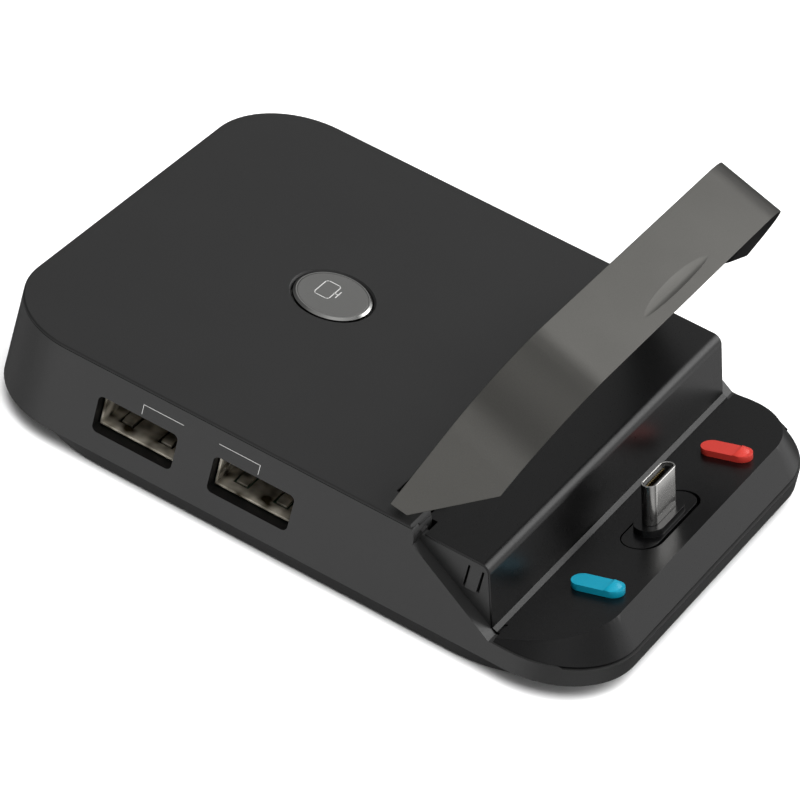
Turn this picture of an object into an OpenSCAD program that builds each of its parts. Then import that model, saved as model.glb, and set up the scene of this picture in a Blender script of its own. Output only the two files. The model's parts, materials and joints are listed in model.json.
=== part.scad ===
// Mini docking station for a handheld game console.
// Millimetres. Origin at the centre of the footprint on the table, +Z up,
// -Y towards the console cradle, +X to the right seen from the cradle side.
// The support arm is drawn open, which is the rest pose.

/* [Body] */
// Width of the top face between the straight side edges
top_w = 80.8; // [78:0.1:84]
// Depth of the slab at the level of the top face
top_d = 105.4; // [100:0.1:110]
// Plan radius of the four corners at the top face
corner_r = 13.9; // [10:0.1:16]
// Height of the top face above the base plane
top_z = 15.8; // [14:0.1:18]
// Height of the base plane, from which the other heights are taken, above the table
base_lift = 1.9; // [1.5:0.1:3]
// Outward slope of the outer walls, mm for each mm down
draft = 0.035; // [0.005:0.005:0.14]
// Thickness of the outer walls
wall = 2.0; // [1.6:0.1:2.4]
// Height of the housing's lower edge over the base plane
under_z = -1.5; // [-2.5:0.1:-1]
// Height of the crease where the lower band begins
band_z = 0.9; // [0.3:0.1:1.5]
// How far the lower band slants inward
band_in = 1.0; // [0.4:0.1:1.4]
// Plan radius of the lower band's corners at the lower edge
base_r = 21; // [16:0.5:24]
// Setback of the lower band from the outer wall at the front and back
base_back = 0.8; // [0.4:0.1:2]
// Thickness of the top cover
cover_t = 1.4; // [1.2:0.1:1.8]
// Chamfer round the top cover's edge
edge_c = 0.2; // [0.1:0.05:0.8]
// Height of the seam between housing and top cover
seam_z = 15.3; // [14.5:0.1:15.4]

/* [Cradle] */
// Lean of the console from the vertical, in degrees
lean = 17; // [14:0.5:20]
// Distance of the step's foot in front of the centre
foot_y = -35.15; // [-38:0.05:-32]
// Height of the step's foot
foot_z = 4.12; // [3.5:0.01:5]
// Height of the step's top
step_z = 14.1; // [13:0.1:14.3]
// Radius of the ridge between the step's top and face
ridge_r = 1.8; // [1:0.1:2.5]
// Distance of the shelf's front edge from the centre
shelf_y = -48.95; // [-50:0.1:-46]
// Thickness of the cradle plate
plate_t = 1.4; // [1.2:0.1:1.8]
// Half the distance between the outer faces of the cheeks
cheek_x = 38.4; // [37:0.1:39]
// Height of the ledge that the closed arm rests on
rim_z = 4.0; // [3.5:0.1:4.5]
// Slope of the plateau wall, mm outward for each mm down
plateau_k = 0.88; // [0.4:0.02:1.2]
// Plateau corner radius at the shelf's front edge
plateau_r = 10.13; // [8:0.1:12]

/* [Support arm] */
// Distance of the hinge axis from the centre
hinge_y = -17.15; // [-19:0.05:-15]
// Height of the hinge axis
hinge_z = 13.1; // [12:0.1:14]
// Opening angle of the arm in degrees
arm_open = 71.4; // [60:0.1:80]
// Height of the arm's front wall
arm_h = 11.5; // [10:0.1:12]
// Thickness of the arm's wall
arm_t = 1.5; // [1.2:0.1:2]
// Radius of the hinge barrel
barrel_r = 2.0; // [1.6:0.1:2.2]
// Radius of the hinge pin
pin_r = 0.9; // [0.7:0.05:1.1]

/* [Button] */
// Distance of the button behind the centre
button_y = 16.6; // [12:0.1:20]
// Radius of the button
button_r = 6.12; // [5:0.01:7]

/* [Sockets] */
// Height of the sockets' centre line on the side wall
port_z = 7.6; // [7:0.1:8.5]
// Position of the rear data socket
port_rear_y = 25.1; // [22:0.1:28]
// Position of the front data socket
port_front_y = 5.2; // [2:0.1:8]
// Depth of the socket shells behind the outer wall
port_inset = 1.8; // [1:0.1:2.5]
// Position of the video socket across the back wall
video_x = -13; // [-20:0.5:-8]
// Position of the power socket across the back wall
power_x = 12; // [8:0.5:20]

/* [Plug] */
// Distance of the plug in front of the centre
plug_y = -42.5; // [-44:0.1:-41]
// Exposed length of the plug's shell
plug_len = 6.65; // [6:0.05:7]
// Width of the plug's shell
plug_w = 8.34; // [8.2:0.01:8.4]
// Thickness of the plug's shell
plug_t = 2.56; // [2.4:0.01:2.6]
// Width of the floating carrier
carrier_w = 18.2; // [16:0.1:20]
// Depth of the floating carrier
carrier_d = 5.8; // [5:0.1:6.5]

/* [Pads] */
// Distance of the pads from the middle
pad_x = 21.8; // [18:0.1:26]
// Length of a pad along the shelf
pad_len = 8.4; // [7:0.1:10]
// Width of a pad
pad_w = 3.4; // [3:0.1:4.5]

/* [Hidden] */
$fn = 64;

corner_x = top_w / 2 - corner_r;
corner_y = top_d / 2 - corner_r;
tan_lean = tan(lean);
board_z0 = 3.5;
board_z1 = 4.7;
plate_z1 = under_z + 1.35;
cushion_z0 = 1.85;
skirt_r = 12.15;
shelf_z = function(y) foot_z + tan_lean * (foot_y - y);
swing_r = 3.6;
diag_low = [-35.7, rim_z];
side_x = function(z) top_w / 2 + draft * (top_z - z);
base_cx = side_x(band_z) - base_r - band_in;
base_cy = base_cx + (top_d - top_w) / 2 - base_back;
case_screw_at = [[34.5, 36], [-34.5, 36], [34.5, -7.5], [-34.5, -7.5]];
front_screw_at = [[32.5, -40.5], [-32.5, -40.5]];
board_screw_at = [[-12, -8], [20, -8], [0, 46]];
foot_at = [[26, 40], [-26, 40], [20, -44.6], [-20, -44.6]];
charcoal = [0.10, 0.10, 0.10];
near_black = [0.05, 0.05, 0.05];
gunmetal = [0.20, 0.195, 0.185];
nickel = [0.72, 0.71, 0.69];
gold = [0.83, 0.66, 0.32];

// ---- helpers ----

// from the base plane's frame to the table's
module lifted() {
    translate([0, 0, base_lift]) children();
}

// a flat outline in (y, z) carried along X
module along_x(x0, x1) {
    translate([x0, 0, 0]) rotate([90, 0, 90]) linear_extrude(x1 - x0) children();
}

// a flat outline in (x, z) carried along Y
module along_y(y0, y1) {
    translate([0, y1, 0]) rotate([90, 0, 0]) linear_extrude(y1 - y0) children();
}

// both sides of the middle plane
module both_sides() {
    children();
    mirror([1, 0, 0]) children();
}

// rounded slab between two heights: r0 and r1 are the corner radii there
module slab(r0, r1, z0, z1, cx = corner_x, cy = corner_y) {
    along_x(-cx, cx)
        polygon([[-cy - r0, z0], [cy + r0, z0], [cy + r1, z1], [-cy - r1, z1]]);
    along_y(-cy, cy)
        polygon([[-cx - r0, z0], [cx + r0, z0], [cx + r1, z1], [-cx - r1, z1]]);
    for (sx = [-1, 1], sy = [-1, 1])
        translate([sx * cx, sy * cy, z0]) cylinder(h = z1 - z0, r1 = r0, r2 = r1);
}

// the body's outer form, moved inward by an inset
module body_slab(inset, z0, z1) {
    slab(corner_r - inset + draft * (top_z - z0),
         corner_r - inset + draft * (top_z - z1), z0, z1);
}

// the whole outer form under the seam: upright walls, then the slanted band
module housing_form() {
    body_slab(0, band_z, seam_z);
    slab(base_r, base_r + band_in, under_z, band_z, base_cx, base_cy);
}

// the space inside the walls and inside the slanted band
module inner_form() {
    body_slab(wall, band_z + 1, seam_z + 1);
    slab(base_r - 1.3, base_r - 1.3, under_z - 1, band_z + 1.1, base_cx, base_cy);
}

// a stadium outline, width w along x and d along y
module stadium(w, d) {
    square([w - d, d], center = true);
    for (s = [-1, 1]) translate([s * (w - d) / 2, 0]) circle(d = d);
}

// a rectangle with rounded corners
module rounded(w, h, r) {
    square([w - 2 * r, h], center = true);
    square([w, h - 2 * r], center = true);
    for (sx = [-1, 1], sy = [-1, 1])
        translate([sx * (w / 2 - r), sy * (h / 2 - r)]) circle(r = r);
}

// points of the cradle's outline, moved inward by t
function face_y(z, t) = foot_y + (z - foot_z) * tan_lean + t / cos(lean);
function foot_pt(t) = [foot_y + t * (cos(lean) - sin(lean)),
                       foot_z - t * (cos(lean) + sin(lean))];
function shelf_pt(y, t) = [y, shelf_z(y) - t / cos(lean)];

// outline of the step, from its top to its foot, moved inward by t
module step_outline(t, y_back, z_low) {
    r = ridge_r - t;
    cy = face_y(step_z - ridge_r, ridge_r);
    cz = step_z - ridge_r;
    polygon([[y_back, z_low], [y_back, step_z - t], [cy, step_z - t], [cy, cz],
             [cy - r * cos(lean), cz + r * sin(lean)], foot_pt(t),
             [foot_pt(t)[0], z_low]]);
    if (r > 0) translate([cy, cz]) circle(r = r);
}

// the plateau's solid form under the shelf plane, moved inward by t
module plateau(t, z_low) {
    r1 = plateau_r - t;
    z0 = rim_z + 0.03;
    z1 = shelf_z(shelf_y);
    r0 = t < 1 ? r1 + plateau_k * (z1 - z0) : skirt_r - t;
    intersection() {
        union() {
            slab(r0, r1, z0, z1);
            slab(skirt_r - t, skirt_r - t, z_low, z0);
        }
        along_x(-60, 60)
            polygon([[foot_pt(t)[0], z_low], foot_pt(t), shelf_pt(-60, t),
                     [-60, z_low]]);
    }
}

// moves into the plug's frame: z along the plug, z = 0 on the shelf
module on_shelf(x, y) {
    translate([x, y, shelf_z(y)]) rotate([-lean, 0, 0]) children();
}

// ---- housing ----

// points of an arc in (y, z) between two angles
function arc(c, r, a0, a1, n) =
    [for (i = [0 : n]) let (a = a0 + (a1 - a0) * i / n)
        [c[0] + r * cos(a), c[1] + r * sin(a)]];

// everything in front of the side wall's end: the arc round the hinge,
// then the diagonal, then the ledge
module arm_space() {
    swing = arc([hinge_y, hinge_z], swing_r, 125, 183, 8);
    polygon(concat([[-17.6, 30], [-18.6, 17.5]], swing,
                   [diag_low, [-60, rim_z], [-60, 30]]));
}

// everything above the cradle cover's underside
module above_step() {
    ridge = arc([face_y(step_z - ridge_r, ridge_r), step_z - ridge_r],
                ridge_r - 0.35, 90, 180 - lean, 6);
    polygon(concat([[-20.9, 30], [-20.9, step_z - 0.35]], ridge,
                   [foot_pt(0.35), [-60, foot_pt(0.35)[1]], [-60, 30]]));
}

module bearing_block(x0, x1) {
    along_x(x0, x1)
        polygon(concat([[-13, 9.2], [-13, 14.3], [-13.95, 14.3], [-13.95, 14.95]],
                       arc([hinge_y, hinge_z], swing_r, 149, 183, 5),
                       [[hinge_y - swing_r, 9.2]]));
}

module screw_boss(at, r, z0, z1, hole) {
    translate([at[0], at[1], z0]) difference() {
        cylinder(h = z1 - z0, r = r, $fn = 32);
        translate([0, 0, -0.1]) cylinder(h = z1 - z0 - 0.9, r = hole, $fn = 32);
    }
}

module side_port(y) {
    translate([-43, y, port_z]) rotate([90, 0, 90])
        linear_extrude(6) rounded(13.7, 6.3, 0.9);
}

module housing() {
    color(charcoal) lifted() difference() {
        union() {
            difference() {
                housing_form();
                // inside: behind the hinge, between the cheeks, in the front rim
                intersection() {
                    inner_form();
                    translate([-60, -19.5, -4]) cube([120, 80, 24]);
                }
                translate([-36.8, -37, -4]) cube([73.6, 19, 24]);
                intersection() {
                    inner_form();
                    translate([-60, -60, -4]) cube([120, 23.5, 24]);
                }
                both_sides() along_x(cheek_x, 60) arm_space();
                along_x(-cheek_x - 0.1, cheek_x + 0.1) above_step();
                along_x(-60, 60) polygon([[-60, rim_z], [-36.5, rim_z],
                                          [-36.5, 30], [-60, 30]]);
                // room for the arm's webs behind the cheeks
                both_sides() translate([36.7, -25, 14.3]) cube([1.8, 5.6, 2]);
            }
            // bulkhead and hinge bearings
            translate([-38.8, -13.9, 9.2]) cube([77.6, 1.1, 5.1]);
            both_sides() {
                bearing_block(34.9, 39.0);
                bearing_block(26.3, 29.1);
            }
            for (p = case_screw_at) {
                screw_boss(p, 2.7, plate_z1, 11, 0.95);
                translate([p[0] > 0 ? p[0] + 2 : -39.2, p[1] - 0.7, plate_z1])
                    cube([2.7, 1.4, 10.85 - plate_z1]);
            }
            // snap wedges on the cheeks
            both_sides() along_y(-31.2, -29.4)
                polygon([[cheek_x - 0.5, 13], [cheek_x, 13], [cheek_x + 0.4, 9.2],
                         [cheek_x - 0.5, 9.2]]);
        }
        // slits beside the snap wedges
        for (y = [-31.55, -29.25]) both_sides()
            translate([36, y, 9.1]) cube([5, 0.35, 3.7]);
        // pin bores
        both_sides() {
            along_x(34, 38.3) translate([hinge_y, hinge_z]) circle(r = pin_r + 0.05);
            along_x(26, 30) translate([hinge_y, hinge_z]) circle(r = 1.27);
        }
        side_port(port_rear_y);
        side_port(port_front_y);
        // video and power sockets through the back wall
        translate([video_x, 48, port_z]) rotate([-90, 0, 0])
            linear_extrude(10) rounded(15.6, 6.2, 0.8);
        translate([power_x, 48, 6.5]) rotate([-90, 0, 0])
            linear_extrude(10) stadium(9.6, 3.8);
    }
}

// ---- covers ----

module top_cover() {
    color(charcoal) lifted() difference() {
        union() {
            body_slab(0, seam_z + 0.12, top_z - edge_c);
            slab(corner_r + draft * edge_c, corner_r - edge_c,
                 top_z - edge_c, top_z);
            body_slab(0.5, seam_z, seam_z + 0.2);
            body_slab(wall + 0.15, top_z - cover_t, seam_z + 0.1);
            // lip inside the housing
            difference() {
                body_slab(wall + 0.15, 13, seam_z);
                body_slab(wall + 1.25, 12, seam_z + 1);
                translate([-60, -60, 0]) cube([120, 60 - 12, 30]);
            }
            translate([0, button_y, 11.6]) cylinder(h = 3, r = 8.6);
        }
        // front edge, rounded about the hinge axis
        difference() {
            translate([-60, -80, 10]) cube([120, 80 + hinge_y, 10]);
            along_x(-61, 61) translate([hinge_y, hinge_z]) circle(r = swing_r);
        }
        // slots for the arm's lugs
        both_sides() translate([29.2, -25, 10]) cube([5.6, 25 - 14.2, 10]);
        // room above the bearings
        both_sides() translate([26, -21, 10]) cube([13, 7.1, 5]);
        translate([-60, -60, 10]) cube([120, 60 - 21.5, 10]);
        // button well
        translate([0, button_y, 10]) cylinder(h = 10, r = button_r + 0.3);
        translate([0, button_y, 10]) cylinder(h = 4.4, r = 7.4);
        translate([0, button_y, top_z - 0.3])
            cylinder(h = 0.31, r1 = button_r + 0.3, r2 = button_r + 0.61);
    }
}

module front_cover() {
    color(near_black) lifted() difference() {
        union() {
            // step: full thickness inside the cheeks, a thin lap over them
            difference() {
                union() {
                    along_x(-36.6, 36.6) step_outline(0, -21.4, 2.4);
                    along_x(-cheek_x, cheek_x) step_outline(0, -21.4, 2.4);
                }
                along_x(-36.6, 36.6) step_outline(plate_t, -10, 0);
                both_sides() along_x(36.5, 60) step_outline(0.3, -10, 0);
            }
            // tongue under the top cover
            translate([-25.9, -22, step_z - plate_t]) cube([51.8, 3.2, plate_t]);
            // tabs that close the lug slots from below
            both_sides() translate([29.4, -22, step_z - plate_t])
                cube([5.2, 2.25, plate_t]);
            // light strip at the step's foot
            along_x(-cheek_x, cheek_x)
                polygon([foot_pt(0.3), shelf_pt(foot_y - 0.65, 0.3),
                         shelf_pt(foot_y - 0.65, 0),
                         [face_y(foot_z + 0.5, 0), foot_z + 0.5],
                         [face_y(foot_z + 0.5, 0.3), foot_z + 0.5]]);
            // shelf and plateau
            difference() {
                plateau(0, 2.3);
                plateau(plate_t, 1);
                translate([-60, -36.3, 0]) cube([24, 3, 20]);
                translate([36, -36.3, 0]) cube([24, 3, 20]);
            }
            intersection() {
                plateau(0.2, 2.3);
                both_sides() translate([36, -37.1, 3.75]) cube([2.2, 3, 10]);
            }
            for (p = front_screw_at) intersection() {
                screw_boss(p, 2.4, plate_z1, 8, 0.95);
                plateau(0.4, plate_z1);
            }
            // bearings for the plug carrier
            on_shelf(0, plug_y) both_sides()
                translate([11.3, -1.7, -3.6]) cube([1.9, 3.4, 3.0]);
        }
        on_shelf(0, plug_y) {
            translate([0, -0.2, -3]) linear_extrude(5)
                stadium(carrier_w + 0.6, carrier_d + 0.8);
            along_x(-14, 14) translate([0, -2.35]) circle(r = 0.8, $fn = 32);
            translate([-9.9, -4.3, -3.4]) cube([19.8, 8.6, 3.4 - plate_t]);
        }
        // window for the ribbon
        translate([-6.8, -38, 2.0]) cube([13.6, 7, 1.35]);
    }
}

module board_post(at, r) {
    translate([at[0], at[1], plate_z1 - 0.1])
        cylinder(h = board_z0 - plate_z1 + 0.1, r = r, $fn = 24);
}

module bottom_plate() {
    color(near_black) lifted() difference() {
        union() {
            difference() {
                slab(base_r - 1.42, base_r - 1.42, under_z, plate_z1, base_cx, base_cy);
                both_sides() translate([36.65, -36.65, -3]) cube([9, 17.3, 4]);
            }
            for (p = board_screw_at) board_post(p, 2.2);
            for (p = [[-30, -2], [30, 20], [-22, 44], [28, 8]]) board_post(p, 1.5);
            // pedestals of the plug carrier's cushions
            both_sides() translate([8.4, -46.6, plate_z1 - 0.1])
                cube([1.6, 7.2, cushion_z0 - plate_z1 + 0.1]);
        }
        for (p = concat(case_screw_at, front_screw_at))
            translate([p[0], p[1], under_z - 0.1]) {
                cylinder(h = 4, r = 1.25, $fn = 32);
                cylinder(h = 0.8, r = 2.3, $fn = 32);
            }
        for (p = board_screw_at) translate([p[0], p[1], plate_z1 - 0.4])
            cylinder(h = 6, r = 0.97, $fn = 32);
        for (p = foot_at) translate([p[0], p[1], under_z - 0.1])
            cylinder(h = 0.5, r = 4.6);
        // vent slots
        for (i = [-3 : 3]) translate([i * 5 - 0.8, 8, -3]) cube([1.6, 18, 4]);
    }
}

module feet() {
    color(near_black) for (p = foot_at) translate([p[0], p[1], 0]) {
        cylinder(h = 0.3, r1 = 4.2, r2 = 4.5);
        translate([0, 0, 0.3]) cylinder(h = base_lift + under_z + 0.1, r = 4.5);
    }
}

module screw(len, shank, head_r, head_h, up) {
    // head at z = 0, shank along +z when up is 1 and along -z when it is -1
    difference() {
        cylinder(h = head_h, r = head_r, $fn = 32);
        for (a = [0, 90]) rotate([0, 0, a])
            translate([-head_r * 0.55, -0.2, up > 0 ? -0.01 : head_h - 0.45])
                cube([head_r * 1.1, 0.4, 0.46]);
    }
    translate([0, 0, up > 0 ? head_h : -len]) cylinder(h = len, r = shank, $fn = 32);
}

module case_screws() {
    color(nickel) lifted() {
        for (p = case_screw_at) translate([p[0], p[1], under_z + 0.05])
            screw(9.7, 0.93, 2.1, 0.65, 1);
        for (p = front_screw_at) translate([p[0], p[1], under_z + 0.05])
            screw(4.6, 0.93, 2.1, 0.65, 1);
    }
}

module board_screws() {
    color(nickel) lifted() for (p = board_screw_at) translate([p[0], p[1], board_z1])
        screw(3.2, 0.95, 1.9, 1.1, -1);
}

// ---- rubber pads on the shelf ----

module pad(tone) {
    // flat body with a domed nose towards the shelf's front edge
    color(tone) {
        translate([0, 0, 0.02]) linear_extrude(1.03)
            rotate([0, 0, 90]) stadium(pad_len, pad_w);
        difference() {
            intersection() {
                linear_extrude(2.2) rotate([0, 0, 90]) stadium(pad_len, pad_w);
                translate([0, -1.9, -0.85]) sphere(r = 2.6);
            }
            translate([0, 0.2, -1]) cylinder(h = 4, r = 2.5);
            translate([-3, -6, -1]) cube([6, 12, 1.3]);
        }
    }
}

module pad_left() {
    lifted() on_shelf(-pad_x, -43.25) pad([0.06, 0.45, 0.60]);
}

module pad_right() {
    lifted() on_shelf(pad_x, -43.25) pad([0.70, 0.10, 0.09]);
}

// ---- button and switch ----

module button_cap() {
    color([0.16, 0.16, 0.155]) lifted() translate([0, button_y, 0]) {
        translate([0, 0, 13.9]) cylinder(h = top_z + 0.22 - 13.9, r = 5.5);
        translate([0, 0, 13.9]) cylinder(h = 1.3, r = button_r);
        translate([0, 0, 12.9]) cylinder(h = 1.0, r = 7.1);
        translate([0, 0, 11.0]) cylinder(h = 1.9, r = 2.2, $fn = 32);
    }
}

module button_bezel() {
    color(nickel) lifted() translate([0, button_y, 0]) rotate_extrude()
        polygon([[5.53, 15.22], [button_r, 15.22], [button_r, 15.7],
                 [5.75, top_z + 0.2], [5.53, top_z + 0.2]]);
}

module switch_body() {
    color(near_black) lifted() translate([0, button_y, board_z1]) difference() {
        translate([-3, -3, 0]) cube([6, 6, 3.8]);
        translate([0, 0, 2.9]) cylinder(h = 2, r = 1.75, $fn = 32);
    }
}

module switch_plunger() {
    color([0.55, 0.10, 0.08]) lifted() translate([0, button_y, 8.3])
        cylinder(h = 2.7, r = 1.69, $fn = 32);
}

// ---- boards and what is on them ----

module main_board() {
    color([0.02, 0.18, 0.09]) lifted() difference() {
        translate([-37, -12, board_z0]) cube([74, 61, board_z1 - board_z0]);
        for (p = case_screw_at) translate([p[0], p[1], 0]) cylinder(h = 9, r = 3.2, $fn = 32);
        for (sx = [-1, 1]) translate([sx * 38, 50, 3]) rotate([0, 0, 45])
            cube([9, 9, 6], center = true);
        for (s = [-1, 1]) translate([s * 35.6 - 2.4, 32, 3]) cube([4.8, 20, 3]);
        for (s = [-1, 1]) translate([s * 35.6 - 2.4, -13, 3]) cube([4.8, 4.5, 3]);
        for (p = board_screw_at) translate([p[0], p[1], 0]) cylinder(h = 9, r = 1.1, $fn = 32);
    }
}

module chip(x, y, w, d, h) {
    translate([x - w / 2, y - d / 2, board_z1]) cube([w, d, h]);
}

module video_chip() {
    color(near_black) lifted() chip(-10, 31, 9, 9, 0.9);
}

module hub_chip() {
    color(near_black) lifted() chip(-15, 7, 7, 7, 0.9);
}

module power_chips() {
    color(near_black) lifted() {
        chip(16, 34, 5, 4, 1.0);
        chip(24, 30, 3, 3, 0.9);
        chip(14, -2, 5, 6, 1.4);
    }
}

module capacitors() {
    color(nickel) lifted() for (p = [[26, 38], [31, 24], [31, 17], [-22, -6]])
        translate([p[0], p[1], board_z1]) {
            cylinder(h = 0.5, r = 2.5, $fn = 32);
            translate([0, 0, 0.5]) cylinder(h = 4.9, r = 2.3, $fn = 32);
        }
}

module inductors() {
    color([0.12, 0.12, 0.12]) lifted() for (p = [[22, 22], [22, 14]])
        translate([p[0] - 2.6, p[1] - 2.6, board_z1]) cube([5.2, 5.2, 3.0]);
}

module crystal() {
    color(nickel) lifted() chip(-3, 7, 3.2, 2.5, 0.8);
}

module shield_can() {
    color(nickel) lifted() translate([-10, 31, board_z1]) difference() {
        translate([-8, -8, 0]) cube([16, 16, 2.2]);
        translate([-7.75, -7.75, -1]) cube([15.5, 15.5, 2.95]);
    }
}

module flex_socket() {
    color([0.75, 0.72, 0.62]) lifted() translate([-7, -11.5, board_z1]) difference() {
        cube([14, 4, 2.0]);
        translate([0.7, -1, 0.7]) cube([12.6, 3.5, 0.5]);
    }
}

module flex_cable() {
    color([0.45, 0.25, 0.08]) lifted() along_x(-6, 6)
        polygon([[-9.2, 5.6], [-13, 5.6], [-20, 4.2], [-36.2, 2.45], [-36.2, 2.75],
                 [-20, 4.5], [-13, 5.9], [-9.2, 5.9]]);
}

// ---- sockets ----

module usb_a_shell() {
    // mouth at x = 0, opening towards -x
    difference() {
        translate([0, -6.6, -2.85]) cube([13, 13.2, 5.7]);
        translate([-1, -6.25, -2.5]) cube([13.6, 12.5, 5.0]);
        // windows round the spring fingers
        for (y = [-3.4, 3.4], z = [-2.675, 2.675]) difference() {
            translate([2.0, y - 1.3, z - 0.4]) cube([5.4, 2.6, 0.8]);
            translate([2.5, y - 0.9, z - 0.5]) cube([6, 1.8, 1.0]);
        }
    }
    for (y = [-3.4, 3.4]) {
        translate([2.5, y - 0.9, 0]) along_y(0, 1.8)
            polygon([[0, 2.5], [1.2, 2.05], [1.6, 2.05], [4.9, 2.55], [4.9, 2.85], [0, 2.85]]);
        translate([2.5, y - 0.9, 0]) along_y(0, 1.8)
            polygon([[0, -2.5], [1.2, -2.2], [1.6, -2.2], [4.9, -2.55], [4.9, -2.85], [0, -2.85]]);
    }
}

port_x = -side_x(port_z) + port_inset;

module usb_a_tongue() {
    translate([10.6, -6.2, -2.45]) cube([1.9, 12.4, 4.9]);
    translate([2.4, -5.55, 0.05]) cube([8.3, 11.1, 1.8]);
}

module at_port(y) {
    translate([port_x, y, port_z]) children();
}

module usb_a_shell_rear() { color(nickel) lifted() at_port(port_rear_y) usb_a_shell(); }
module usb_a_shell_front() { color(nickel) lifted() at_port(port_front_y) usb_a_shell(); }
module usb_a_tongue_rear() { color(near_black) lifted() at_port(port_rear_y) usb_a_tongue(); }
module usb_a_tongue_front() { color(near_black) lifted() at_port(port_front_y) usb_a_tongue(); }

module usb_a_contacts() {
    color(gold) lifted() for (y = [port_rear_y, port_front_y]) at_port(y)
        for (k = [-3.5, -1.0, 1.0, 3.5])
            translate([2.8, k - 0.5, -0.1]) cube([7.6, 1.0, 0.15]);
}

module video_outline(grow) {
    polygon([[-7.5 - grow, 2.85 + grow], [7.5 + grow, 2.85 + grow],
             [7.5 + grow, -0.6], [5.9 + grow / 2, -2.6 - grow],
             [-5.9 - grow / 2, -2.6 - grow], [-7.5 - grow, -0.6]]);
}

back_y = top_d / 2 + draft * (top_z - port_z);

module at_back(x, z) {
    // mouth at y = 0 of the child's frame, opening towards +y
    translate([x, back_y - 1.0, z]) children();
}

module video_shell() {
    color(nickel) lifted() at_back(video_x, port_z + 0.05) difference() {
        along_y(-11, 0) video_outline(0);
        along_y(-10.6, 1) video_outline(-0.35);
    }
}

module video_tongue() {
    color(near_black) lifted() at_back(video_x, port_z + 0.05) {
        along_y(-10.5, -9) video_outline(-0.45);
        translate([-6.4, -9.1, -0.3]) cube([12.8, 8.1, 1.3]);
    }
}

module video_contacts() {
    color(gold) lifted() at_back(video_x, port_z + 0.05) for (i = [-9 : 9])
        translate([i * 0.62 - 0.16, -8.6, i % 2 == 0 ? 1.0 : -0.42])
            cube([0.32, 7.2, 0.12]);
}

module power_shell() {
    color(nickel) lifted() at_back(power_x, 6.5) translate([0, -7.6, 0])
        rotate([-90, 0, 0]) difference() {
            linear_extrude(7.6) stadium(8.94, 3.16);
            translate([0, 0, 0.4]) linear_extrude(8) stadium(8.34, 2.56);
        }
}

module power_tongue() {
    color(near_black) lifted() at_back(power_x, 6.5) {
        translate([-3.6, -7.15, -1.0]) cube([7.2, 1.0, 2.0]);
        translate([-3.35, -6.3, -0.35]) cube([6.7, 4.9, 0.7]);
    }
}

// ---- support arm ----

module arm_closed() {
    low = top_z - arm_h;
    intersection() {
        difference() {
            body_slab(0, low, top_z);
            body_slab(arm_t, low - 1, top_z + 1);
            // the inner edge follows the plateau wall
            slab(plateau_r + plateau_k * (shelf_z(shelf_y) - low + 0.5) + 0.25,
                 plateau_r + plateau_k * (shelf_z(shelf_y) - low - 2.5) + 0.25,
                 low - 0.5, low + 2.5);
        }
        along_x(-60, 60)
            polygon([[-21.0, top_z + 1], [-21.0, top_z], [-21.55, 12.88],
                     [-35.97, low], [-70, low - 0.1], [-70, top_z + 1]]);
    }
    both_sides() {
        // web from the leg to the lug, above the step
        translate([29.6, -24, step_z + 0.3])
            cube([top_w / 2 - arm_t + 0.2 - 29.6, 3.0, top_z - step_z - 0.3]);
        // lug and barrel
        difference() {
            along_x(29.6, 34.4) translate([hinge_y, hinge_z]) {
                circle(r = barrel_r);
                polygon([[-6.85, 1.3], [-6.85, 2.7], [-0.5, 2.7], [1.0, 1.72],
                         [0, 0], [-1.9, 0.3], [-2.35, 1.3]]);
            }
            along_x(29, 35) translate([hinge_y, hinge_z]) circle(r = pin_r);
        }
    }
}

module opened() {
    translate([0, hinge_y, hinge_z]) rotate([-arm_open, 0, 0])
        translate([0, -hinge_y, -hinge_z]) children();
}

module arm() {
    color(gunmetal) lifted() opened() arm_closed();
}

module hinge_pins() {
    color(nickel) lifted() both_sides() along_x(26.4, 38.1)
        translate([hinge_y, hinge_z]) circle(r = pin_r);
}

module friction_sleeves() {
    color([0.6, 0.55, 0.4]) lifted() both_sides() along_x(26.4, 29.0)
        translate([hinge_y, hinge_z]) difference() {
            circle(r = 1.25);
            circle(r = pin_r + 0.02);
            translate([-0.2, -2]) square([0.4, 2]);
        }
}

// ---- floating plug ----

module plug_carrier() {
    color(near_black) lifted() on_shelf(0, plug_y) {
        translate([0, 0, -1.9]) linear_extrude(1.85) stadium(carrier_w, carrier_d);
        translate([0, 0, -0.1]) linear_extrude(1.1) stadium(11.4, 4.8);
        translate([-9.5, -3.9, -2.9]) cube([19, 7.8, 1.1]);
        both_sides() along_x(9.4, 13.0) translate([0, -2.35]) circle(r = 0.75, $fn = 32);
    }
}

module plug_shell() {
    color(nickel) lifted() on_shelf(0, plug_y) translate([0, 0, 1.0]) difference() {
        linear_extrude(plug_len) stadium(plug_w, plug_t);
        translate([0, 0, 0.3]) linear_extrude(plug_len)
            stadium(plug_w - 0.6, plug_t - 0.6);
    }
}

module plug_liner() {
    color(near_black) lifted() on_shelf(0, plug_y) translate([0, 0, 1.3]) difference() {
        linear_extrude(plug_len - 0.7) stadium(plug_w - 0.66, plug_t - 0.66);
        translate([0, 0, 1.2]) linear_extrude(plug_len)
            square([6.9, 1.0], center = true);
    }
}

module plug_contacts() {
    color(gold) lifted() on_shelf(0, plug_y) for (i = [-5 : 6], s = [-1, 1])
        translate([i * 0.5 - 0.25 - 0.13, s > 0 ? 0.38 : -0.5, 2.6])
            cube([0.26, 0.12, 4.4]);
}

module plug_board() {
    color([0.02, 0.18, 0.09]) lifted() on_shelf(0, plug_y)
        translate([-8.6, -3.2, -3.65]) cube([17.2, 5.3, 0.75]);
}

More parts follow.
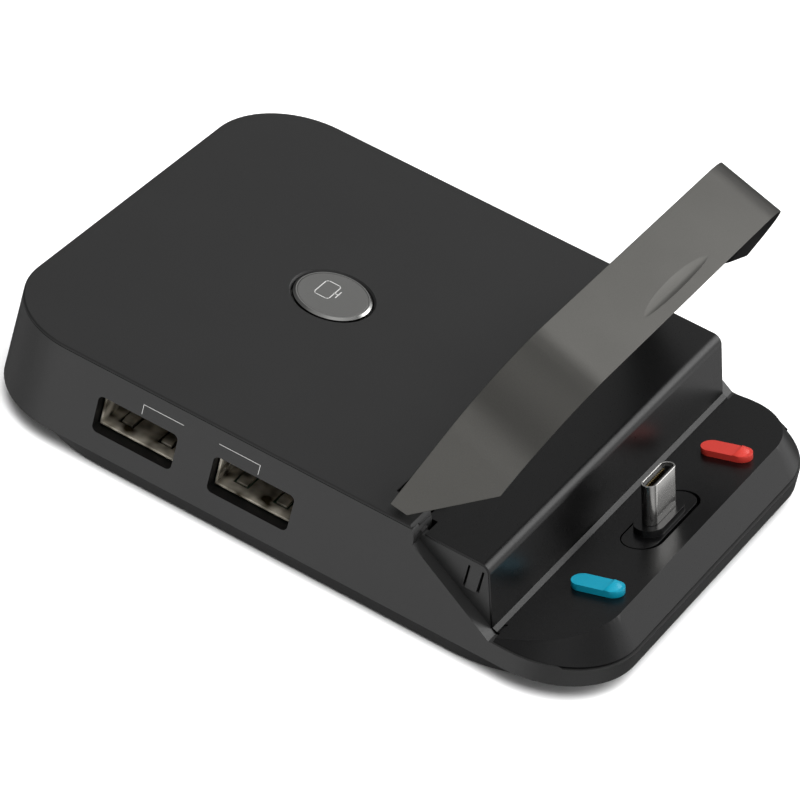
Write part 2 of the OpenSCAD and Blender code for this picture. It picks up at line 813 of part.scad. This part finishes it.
module carrier_cushions() {
    color([0.2, 0.2, 0.22]) lifted() both_sides() {
        translate([8.9, -46.0, cushion_z0]) cube([0.55, 1.2, 2.1]);
        translate([8.9, -41.2, cushion_z0]) cube([0.55, 1.0, 0.7]);
    }
}

housing();
top_cover();
front_cover();
bottom_plate();
feet();
case_screws();
board_screws();
pad_left();
pad_right();
button_cap();
button_bezel();
switch_plunger();
switch_body();
main_board();
video_chip();
hub_chip();
power_chips();
capacitors();
inductors();
crystal();
shield_can();
flex_socket();
flex_cable();
usb_a_shell_rear();
usb_a_shell_front();
usb_a_tongue_rear();
usb_a_tongue_front();
usb_a_contacts();
video_shell();
video_tongue();
video_contacts();
power_shell();
power_tongue();
arm();
hinge_pins();
friction_sleeves();
plug_carrier();
plug_shell();
plug_liner();
plug_contacts();
plug_board();
carrier_cushions();
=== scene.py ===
"""Looks of the mini docking station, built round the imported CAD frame."""

import json
import math

import bmesh
import bpy
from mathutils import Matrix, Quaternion, Vector


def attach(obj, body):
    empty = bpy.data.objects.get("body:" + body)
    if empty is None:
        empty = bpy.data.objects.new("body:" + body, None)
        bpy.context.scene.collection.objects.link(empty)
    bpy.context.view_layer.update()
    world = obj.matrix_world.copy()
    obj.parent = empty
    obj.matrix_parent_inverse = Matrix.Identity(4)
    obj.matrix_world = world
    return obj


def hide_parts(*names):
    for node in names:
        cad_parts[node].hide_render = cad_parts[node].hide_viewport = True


MM = 0.001

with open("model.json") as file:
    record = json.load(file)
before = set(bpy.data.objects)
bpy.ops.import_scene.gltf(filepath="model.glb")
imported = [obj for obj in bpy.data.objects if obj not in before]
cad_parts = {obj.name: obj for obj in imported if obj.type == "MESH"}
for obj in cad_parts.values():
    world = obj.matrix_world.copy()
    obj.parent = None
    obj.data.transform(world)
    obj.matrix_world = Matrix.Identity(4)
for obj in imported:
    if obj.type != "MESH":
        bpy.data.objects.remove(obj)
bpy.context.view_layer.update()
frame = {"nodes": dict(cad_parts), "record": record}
nodes = frame["nodes"]
scene = bpy.context.scene


# ---- driving dimensions, in millimetres, of the closed dock above the table ----

HALF_TOP_WIDTH = 40.4
TOP_HEIGHT = 17.7
WALL_DRAFT = 0.035
CORNER_CENTRE_X = 26.5
CORNER_CENTRE_Y = -38.8
BUTTON_Y = 16.6
BUTTON_HEIGHT = 17.92


# ---- materials ----

GRAIN_DEPTH = 8e-6
FLAKE_DEPTH = 2e-6


class Nodes:
    """A small helper that builds one procedural material."""

    def __init__(self, name):
        self.material = bpy.data.materials.new(name)
        self.material.use_nodes = True
        self.tree = self.material.node_tree
        self.shader = self.tree.nodes["Principled BSDF"]
        self.coords = self.tree.nodes.new("ShaderNodeTexCoord").outputs["Object"]

    def add(self, kind, inputs=None, **settings):
        node = self.tree.nodes.new(kind)
        for key, value in settings.items():
            setattr(node, key, value)
        for key, value in (inputs or {}).items():
            if hasattr(value, "links"):
                self.tree.links.new(value, node.inputs[key])
            else:
                node.inputs[key].default_value = value
        return node

    def link(self, output, socket):
        self.tree.links.new(output, self.shader.inputs[socket])

    def set(self, **values):
        names = {
            "metallic": "Metallic", "roughness": "Roughness", "specular": "Specular IOR Level",
        }
        for key, value in values.items():
            self.shader.inputs[names[key]].default_value = value

    def noise(self, scale, detail=2.0, roughness=0.5, stretch=None):
        vector = self.coords
        if stretch:
            mapping = self.add("ShaderNodeMapping", {"Vector": vector})
            mapping.inputs["Scale"].default_value = stretch
            vector = mapping.outputs["Vector"]
        node = self.add("ShaderNodeTexNoise", {
            "Vector": vector, "Scale": scale, "Detail": detail, "Roughness": roughness})
        return node.outputs["Fac"]

    def between(self, factor, low, high):
        node = self.add("ShaderNodeMapRange", {
            "Value": factor, "From Min": 0.3, "From Max": 0.7, "To Min": low, "To Max": high})
        return node.outputs["Result"]

    def tint(self, factor, dark, light):
        node = self.add("ShaderNodeMix", {"Factor": factor}, data_type="RGBA")
        node.inputs["A"].default_value = (*dark, 1)
        node.inputs["B"].default_value = (*light, 1)
        return node.outputs["Result"]

    def bump(self, heights, distance, strength):
        node = self.add("ShaderNodeBump", {
            "Height": heights, "Distance": distance, "Strength": strength})
        self.link(node.outputs["Normal"], "Normal")


def grained(name, colour, spread, roughness, grain=0.35, grain_scale=5200, **settings):
    """Moulded plastic or rubber with a fine spark-eroded grain."""
    m = Nodes(name)
    broad = m.noise(70, 3, 0.55)
    low = [c * (1 - spread) for c in colour]
    high = [c * (1 + spread) for c in colour]
    m.link(m.tint(m.between(broad, 0, 1), low, high), "Base Color")
    fine = m.noise(grain_scale, 2, 0.6)
    m.link(m.between(fine, roughness - 0.05, roughness + 0.05), "Roughness")
    m.bump(fine, GRAIN_DEPTH, grain)
    m.set(**settings)
    return m.material


def plated(name, colour, roughness):
    """Bright metal plating with faint handling marks."""
    m = Nodes(name)
    broad = m.noise(300, 3, 0.6)
    low = [c * 0.94 for c in colour]
    m.link(m.tint(m.between(broad, 0, 1), low, colour), "Base Color")
    streaks = m.noise(900, 3, 0.6, stretch=(1, 1, 6))
    m.link(m.between(streaks, roughness, roughness + 0.04), "Roughness")
    m.set(metallic=1.0)
    return m.material


def socket_shell(name, dark, light):
    """Thin nickel sheet with the soft warm patches of a drawn shell."""
    m = Nodes(name)
    patches = m.noise(420, 1, 0.4)
    m.link(m.tint(m.between(patches, 0, 1), dark, light), "Base Color")
    m.set(metallic=0.6, roughness=0.16)
    return m.material


def satin_paint(name, colour, roughness):
    """Gunmetal paint: fine flakes under a thin satin lacquer."""
    m = Nodes(name)
    flakes = m.noise(9000, 1, 0.5)
    low = [c * 0.93 for c in colour]
    high = [c * 1.07 for c in colour]
    m.link(m.tint(m.between(flakes, 0, 1), low, high), "Base Color")
    cloud = m.noise(90, 3, 0.5)
    m.link(m.between(cloud, roughness - 0.02, roughness + 0.02), "Roughness")
    m.bump(flakes, FLAKE_DEPTH, 0.3)
    m.set(metallic=0.85)
    return m.material


def laminate(name, mask, trace):
    """Solder mask with faint copper traces under it."""
    m = Nodes(name)
    cells = m.add("ShaderNodeTexBrick", {
        "Vector": m.coords, "Scale": 260.0, "Mortar Size": 0.03,
        "Color1": (*mask, 1), "Color2": (*[c * 0.85 for c in mask], 1), "Mortar": (*trace, 1)})
    m.link(cells.outputs["Color"], "Base Color")
    m.set(roughness=0.35)
    return m.material


CHARCOAL = (0.0086, 0.0086, 0.0086)
WALL_TONE = (0.014, 0.014, 0.014)
CRADLE_TONE = (0.0016, 0.0016, 0.0017)

LOOKS = {
    "cover_plastic": grained("cover_plastic", CHARCOAL, 0.05, 0.52),
    "housing_plastic": grained("housing_plastic", WALL_TONE, 0.05, 0.45),
    "cradle_plastic": grained("cradle_plastic", CRADLE_TONE, 0.05, 0.32, grain=0.25, specular=0.33),
    "base_plastic": grained("base_plastic", WALL_TONE, 0.06, 0.60),
    "carrier_plastic": grained("carrier_plastic", CRADLE_TONE, 0.05, 0.32, grain=0.25, specular=0.33),
    "foot_rubber": grained("foot_rubber", (0.02, 0.02, 0.02), 0.1, 0.75),
    "pad_blue_rubber": grained("pad_blue_rubber", (0.001, 0.24, 0.35), 0.04, 0.42,
                               grain=0.3, grain_scale=4200),
    "pad_red_rubber": grained("pad_red_rubber", (0.50, 0.036, 0.026), 0.04, 0.42,
                              grain=0.3, grain_scale=4200),
    "button_plastic": grained("button_plastic", (0.068, 0.068, 0.066), 0.03, 0.38),
    "switch_plastic": grained("switch_plastic", (0.03, 0.03, 0.03), 0.05, 0.5),
    "chip_plastic": grained("chip_plastic", (0.02, 0.02, 0.021), 0.08, 0.5),
    "tongue_plastic": grained("tongue_plastic", (0.012, 0.012, 0.012), 0.05, 0.4),
    "socket_plastic": grained("socket_plastic", (0.70, 0.66, 0.55), 0.03, 0.5),
    "flex_film": grained("flex_film", (0.40, 0.18, 0.04), 0.05, 0.25),
    "board_laminate": laminate("board_laminate", (0.003, 0.022, 0.010), (0.008, 0.05, 0.022)),
    "arm_paint": satin_paint("arm_paint", (0.090, 0.088, 0.082), 0.40),
    "bezel_metal": plated("bezel_metal", (0.42, 0.42, 0.41), 0.16),
    "shell_nickel": socket_shell("shell_nickel", (0.05, 0.038, 0.02), (1.0, 0.93, 0.78)),
    "plug_nickel": plated("plug_nickel", (0.70, 0.69, 0.67), 0.16),
    "screw_steel": plated("screw_steel", (0.42, 0.42, 0.43), 0.25),
    "pin_steel": plated("pin_steel", (0.55, 0.55, 0.56), 0.2),
    "can_steel": plated("can_steel", (0.65, 0.65, 0.64), 0.25),
    "can_aluminium": plated("can_aluminium", (0.75, 0.75, 0.75), 0.3),
    "contact_gold": plated("contact_gold", (0.80, 0.58, 0.24), 0.2),
    "sleeve_bronze": plated("sleeve_bronze", (0.55, 0.40, 0.22), 0.3),
}


# ---- edge finishing: a visible CAD node becomes a mesh with real fillets ----

def paint(obj, slot_name):
    obj.data.materials.clear()
    obj.data.materials.append(LOOKS[slot_name])


FILLET_SEGMENTS = 2
SHARP_ANGLE = math.radians(24)
SAME_PLACE = 1e-7
FLAT_ANGLE = math.radians(0.3)


def finished_copy(node, width, carve=None):
    """A copy of a CAD node's mesh with its sharp edges rounded, standing for that node."""
    source = nodes[node]
    mesh = source.data.copy()
    bm = bmesh.new()
    bm.from_mesh(mesh)
    bmesh.ops.remove_doubles(bm, verts=bm.verts, dist=SAME_PLACE)
    bmesh.ops.dissolve_limit(
        bm, angle_limit=FLAT_ANGLE, verts=bm.verts, edges=bm.edges,
        use_dissolve_boundaries=False)
    bm.to_mesh(mesh)
    bm.free()
    piece = bpy.data.objects.new("visual_" + node, mesh)
    scene.collection.objects.link(piece)
    bevel = piece.modifiers.new("edges", "BEVEL")
    bevel.width = width * MM
    bevel.segments = FILLET_SEGMENTS
    bevel.limit_method = "ANGLE"
    bevel.angle_limit = SHARP_ANGLE
    bevel.use_clamp_overlap = True
    bevel.miter_outer = "MITER_ARC"
    bevel.harden_normals = False
    for polygon in mesh.polygons:
        polygon.use_smooth = True
    if carve:
        apply_modifiers(piece)
        carve(piece)
    flatten = piece.modifiers.new("flat_faces", "WEIGHTED_NORMAL")
    flatten.mode = "FACE_AREA"
    flatten.weight = 50
    flatten.keep_sharp = carve is not None
    apply_modifiers(piece)
    body = BODY_OF[node]
    slot_name = SLOT_OF[node]
    paint(piece, slot_name)
    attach(piece, body)
    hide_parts(node)
    return piece


def apply_modifiers(obj):
    depsgraph = bpy.context.evaluated_depsgraph_get()
    mesh = bpy.data.meshes.new_from_object(obj.evaluated_get(depsgraph))
    obj.modifiers.clear()
    obj.data = mesh


# ---- the arm's finger dent, cut by a rounded body set against the closed arm's face ----

HINGE = next(j for j in frame["record"]["behaviour"]["joints"] if j["name"] == "arm_hinge")
HINGE_PLACE = Vector(HINGE["pos_m"])
CLOSING = Quaternion(Vector(HINGE["axis"]), math.radians(HINGE["range_deg"][1]))
# the dent on the closed arm, in millimetres
DENT_DEPTH = 0.085
DENT_FACE_Y = -53.0
DENT_HEIGHT = 8.8
DENT_RADIUS_INWARD = 5.0
# the body that cuts it, in metres
DENT_RADII = Vector((54.0, DENT_RADIUS_INWARD, 10.0)) * MM
DENT_RADIUS_BELOW = 3.6 * MM
DENT_CENTRE = Vector((0, DENT_FACE_Y - DENT_RADIUS_INWARD + DENT_DEPTH, DENT_HEIGHT)) * MM


def closed(place):
    """Where a point of the open arm lies when the arm is closed."""
    return CLOSING @ (place - HINGE_PLACE) + HINGE_PLACE


def dent_radius_z(z):
    """The cutting body's upright radius: long above its centre, short below it."""
    return DENT_RADII.z if z > 0 else DENT_RADIUS_BELOW


def on_dent(place):
    """Whether a point of the open arm lies on the surface of the cutting body."""
    offset = closed(place) - DENT_CENTRE
    parts = (offset.x / DENT_RADII.x, offset.y / DENT_RADII.y, offset.z / dent_radius_z(offset.z))
    return abs(sum(part ** 2 for part in parts) - 1) < 0.01


def carve_dent(piece):
    """Cuts a shallow finger dent, steeper on its lower side, into the arm's outer face."""
    mesh = bpy.data.meshes.new("dent")
    bm = bmesh.new()
    bmesh.ops.create_uvsphere(bm, u_segments=192, v_segments=96, radius=1)
    for vert in bm.verts:
        radii = (DENT_RADII.x, DENT_RADII.y, dent_radius_z(vert.co.z))
        place = Vector([vert.co[i] * radii[i] for i in range(3)]) + DENT_CENTRE
        vert.co = CLOSING.inverted() @ (place - HINGE_PLACE) + HINGE_PLACE
    bm.to_mesh(mesh)
    bm.free()
    cutter = bpy.data.objects.new("dent", mesh)
    scene.collection.objects.link(cutter)
    cut = piece.modifiers.new("dent", "BOOLEAN")
    cut.operation = "DIFFERENCE"
    cut.solver = "EXACT"
    cut.object = cutter
    apply_modifiers(piece)
    bpy.data.objects.remove(cutter)
    bm = bmesh.new()
    bm.from_mesh(piece.data)
    made = {f for f in bm.faces if all(on_dent(v.co) for v in f.verts)}
    for face in bm.faces:
        face.smooth = True
    for edge in bm.edges:
        edge.smooth = len({f in made for f in edge.link_faces}) < 2
    bm.to_mesh(piece.data)
    bm.free()


# ---- every node's material, and the finished copies ----

BODY_OF = {n: b for b, ns in frame["record"]["behaviour"]["bodies"].items() for n in ns}
SLOT_OF = {s["node"]: s["material_slot"] for s in frame["record"]["subparts"]}

for name, obj in nodes.items():
    paint(obj, SLOT_OF[name])

# width of each finished copy's edge fillets, in millimetres
FILLETS = {
    "housing": 0.10,
    "top_cover": 0.12,
    "front_cover": 0.14,
    "arm": 0.22,
    "pad_left": 0.10,
    "pad_right": 0.10,
    "plug_carrier": 0.12,
    "plug_shell": 0.08,
    "usb_a_shell_rear": 0.05,
    "usb_a_shell_front": 0.05,
    "button_cap": 0.12,
}
CARVED = {"arm": carve_dent}
visual = {name: finished_copy(name, width, CARVED.get(name)) for name, width in FILLETS.items()}


# ---- painted shade: near-black materials on the arm's inward faces and on the recesses round the side sockets ----

def recolour(piece, material, wanted):
    """Gives a second material to the faces for which wanted(centre, normal) holds."""
    piece.data.materials.append(material)
    for polygon in piece.data.polygons:
        if wanted(polygon.center, polygon.normal):
            polygon.material_index = 1


PORTS = [Vector(m["pos_m"]) for m in frame["record"]["mounts"] if m["name"].startswith("usb_a")]
PORT_HALF = Vector((3.0, 7.0, 3.3)) * MM


def arm_painted_shade(centre, normal):
    """Whether a face of the arm looks inward when the arm is closed; these faces get painted shade.
    """
    place = closed(centre)
    facing = CLOSING @ normal
    past_x = max(abs(place.x) - CORNER_CENTRE_X * MM, 0)
    past_y = min(place.y - CORNER_CENTRE_Y * MM, 0)
    out = Vector((math.copysign(past_x, place.x), past_y, 0))
    return out.length > 1 * MM and facing.dot(out.normalized()) < -0.5


def port_recess_painted_shade(centre, normal):
    """Whether a face lies in the opening round a side socket; these faces get painted shade."""
    return normal.x > -0.6 and any(
        all(abs(centre[i] - port[i]) < PORT_HALF[i] for i in range(3)) for port in PORTS)


# painted shade: the arm's inward faces get a near-black material
recolour(visual["arm"], grained("arm_painted_shade", (0.006, 0.006, 0.006), 0.05, 0.5), arm_painted_shade)
# painted shade: the faces in the openings round the side sockets get a near-black material
recolour(visual["housing"], grained("port_recess_painted_shade", (0.001, 0.001, 0.001), 0.05, 0.6), port_recess_painted_shade)


# ---- printed marks: leader lines over the side sockets and a plain screen outline ----

PRINT = grained("print_ink", (0.45, 0.45, 0.44), 0.02, 0.5, grain=0.1)
PRINT_RISE = 0.012 * MM
LEADER_WIDTH = 0.10 * MM
ICON_WIDTH = 0.15 * MM


def printed_line(name, points, up, body, width, loop=False):
    """A thin line through points, raised along up from the face that it lies on."""
    mesh = bpy.data.meshes.new(name)
    bm = bmesh.new()
    ends = list(zip(points, points[1:] + points[:1]))
    for start, end in ends if loop else ends[:-1]:
        along = (end - start).normalized()
        side = up.cross(along) * width / 2
        tip = along * width / 2
        corners = (start - tip - side, end + tip - side, end + tip + side, start - tip + side)
        low = [bm.verts.new(c) for c in corners]
        high = [bm.verts.new(c + up * PRINT_RISE) for c in corners]
        bm.faces.new(high)
        bm.faces.new(low[::-1])
        for i in range(4):
            bm.faces.new((low[i], low[(i + 1) % 4], high[(i + 1) % 4], high[i]))
    bm.normal_update()
    bm.to_mesh(mesh)
    bm.free()
    piece = bpy.data.objects.new(name, mesh)
    scene.collection.objects.link(piece)
    mesh.materials.append(PRINT)
    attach(piece, body)
    return piece


def side_wall_marks():
    """A leader line over each side socket, with a short tick at its outer end."""
    tick_height = 13.2
    line_height = 14.85
    line_x = -HALF_TOP_WIDTH - WALL_DRAFT * (TOP_HEIGHT - line_height)
    lean = round(WALL_DRAFT * (line_height - tick_height), 2)
    for name, outer_y, inner_y in (("mark_rear", 24.7, 17.9), ("mark_front", 4.8, 11.75)):
        places = [(line_x - lean, outer_y, tick_height), (line_x, outer_y, line_height),
                  (line_x, inner_y, line_height)]
        points = [Vector(place) * MM for place in places]
        printed_line(name, points, Vector((-1, 0, 0)), "dock", LEADER_WIDTH)


def on_button(x, y):
    """A point of the button's face, from the button's centre."""
    return Vector((x, BUTTON_Y + y, BUTTON_HEIGHT)) * MM


def button_mark():
    """A plain screen outline with cut corners, and beside it a stand with its foot."""
    up = Vector((0, 0, 1))
    left, right, low, high, cut = -1.65, 2.65, 0.0, 2.55, 0.35
    outline = [on_button(left + cut, low), on_button(right - cut, low),
               on_button(right, low + cut), on_button(right, high - cut),
               on_button(right - cut, high), on_button(left + cut, high),
               on_button(left, high - cut), on_button(left, low + cut)]
    printed_line("mark_screen", outline, up, "button", ICON_WIDTH, loop=True)
    stand = [on_button(0.45, 0.1), on_button(0.45, -0.55)]
    printed_line("mark_stand", stand, up, "button", ICON_WIDTH)
    foot = [on_button(-0.45, -0.65), on_button(1.4, -0.65)]
    printed_line("mark_foot", foot, up, "button", ICON_WIDTH)


side_wall_marks()
button_mark()


# ---- camera ----

camera_data = bpy.data.cameras.new("camera")
camera = bpy.data.objects.new("camera", camera_data)
scene.collection.objects.link(camera)
scene.camera = camera
CAMERA_PLACE = Vector((-537.69, -199.55, 415.65)) * MM
CAMERA_TURN = Quaternion((0.790105, 0.339293, -0.307361, -0.407606))
camera.location = CAMERA_PLACE
camera.rotation_mode = "QUATERNION"
camera.rotation_quaternion = CAMERA_TURN
camera_data.sensor_width = 36
camera_data.lens = 210.43
camera_data.clip_start = 0.01
camera_data.clip_end = 20


# ---- floor and light ----

def floor():
    """A pale plain floor that shows no mirror image."""
    mesh = bpy.data.meshes.new("floor")
    side = 6.0
    mesh.from_pydata([(-side, -side, 0), (side, -side, 0), (side, side, 0), (-side, side, 0)],
                     [], [(0, 1, 2, 3)])
    obj = bpy.data.objects.new("floor", mesh)
    scene.collection.objects.link(obj)
    m = Nodes("pale_floor")
    m.shader.inputs["Base Color"].default_value = (0.93, 0.93, 0.93, 1)
    m.set(roughness=0.8, specular=0.1)
    obj.data.materials.append(m.material)
    obj.visible_glossy = False


def softbox(place, side, power):
    """A square soft light aimed at the dock, left out of the mirrored studio."""
    data = bpy.data.lights.new("key", "AREA")
    data.shape = "RECTANGLE"
    data.size, data.size_y = side, side
    data.energy = power
    obj = bpy.data.objects.new("key", data)
    scene.collection.objects.link(obj)
    obj.location = place
    obj.rotation_mode = "QUATERNION"
    obj.rotation_quaternion = (-Vector(place)).to_track_quat("-Z", "Y")
    obj.visible_glossy = False


def studio_world(ground, glows):
    """A grey studio. A glow is (direction, cosine where it starts, where it is full, strength)."""
    world = bpy.data.worlds.new("studio")
    scene.world = world
    world.use_nodes = True
    tree = world.node_tree
    direction = tree.nodes.new("ShaderNodeTexCoord").outputs["Generated"]
    total = None
    for aim, start, full, strength in glows:
        dot = tree.nodes.new("ShaderNodeVectorMath")
        dot.operation = "DOT_PRODUCT"
        tree.links.new(direction, dot.inputs[0])
        dot.inputs[1].default_value = Vector(aim).normalized()
        lobe = tree.nodes.new("ShaderNodeMapRange")
        lobe.interpolation_type = "SMOOTHSTEP"
        tree.links.new(dot.outputs["Value"], lobe.inputs["Value"])
        lobe.inputs["From Min"].default_value = start
        lobe.inputs["From Max"].default_value = full
        lobe.inputs["To Min"].default_value = 0
        lobe.inputs["To Max"].default_value = strength
        add = tree.nodes.new("ShaderNodeMath")
        tree.links.new(lobe.outputs["Result"], add.inputs[0])
        if total is None:
            add.inputs[1].default_value = ground
        else:
            tree.links.new(total, add.inputs[1])
        total = add.outputs["Value"]
    background = tree.nodes["Background"]
    background.inputs["Color"].default_value = (1, 1, 1, 1)
    tree.links.new(total, background.inputs["Strength"])
    world.cycles.sampling_method = "NONE"


floor()
softbox((-0.2, -0.1, 1.3), 1.4, 32)
studio_world(0.06, [
    # the whole sky, faintly
    ((0, 0, 1), 0.0, 0.6, 0.10),
    # the top face
    ((0.76, 0.1, 0.6), 0.7, 0.97, 0.26),
    # the arm's front, the ridge and the strip at the step's foot
    ((0.76, -0.36, 0.54), 0.92, 0.985, 3.0),
    # the step's face, the plateau and the plug
    ((0.76, -0.6, 0.1), 0.78, 0.97, 0.95),
    # the left wall and the arm's leg
    ((-0.9, 0.25, -0.36), 0.75, 0.96, 1.2),
    # the left back corner
    ((-0.1, 0.8, -0.58), 0.75, 0.95, 0.28),
    # the arm's corner and the top cover's left edge
    ((-0.64, -0.16, 0.75), 0.6, 0.95, 0.27),
    # the plateau's left corner
    ((-0.23, -0.71, 0.66), 0.6, 0.97, 0.42),
    # the outer wall's front left corner
    ((-0.26, -0.74, -0.58), 0.7, 0.97, 0.4),
])

scene.view_settings.view_transform = "Standard"
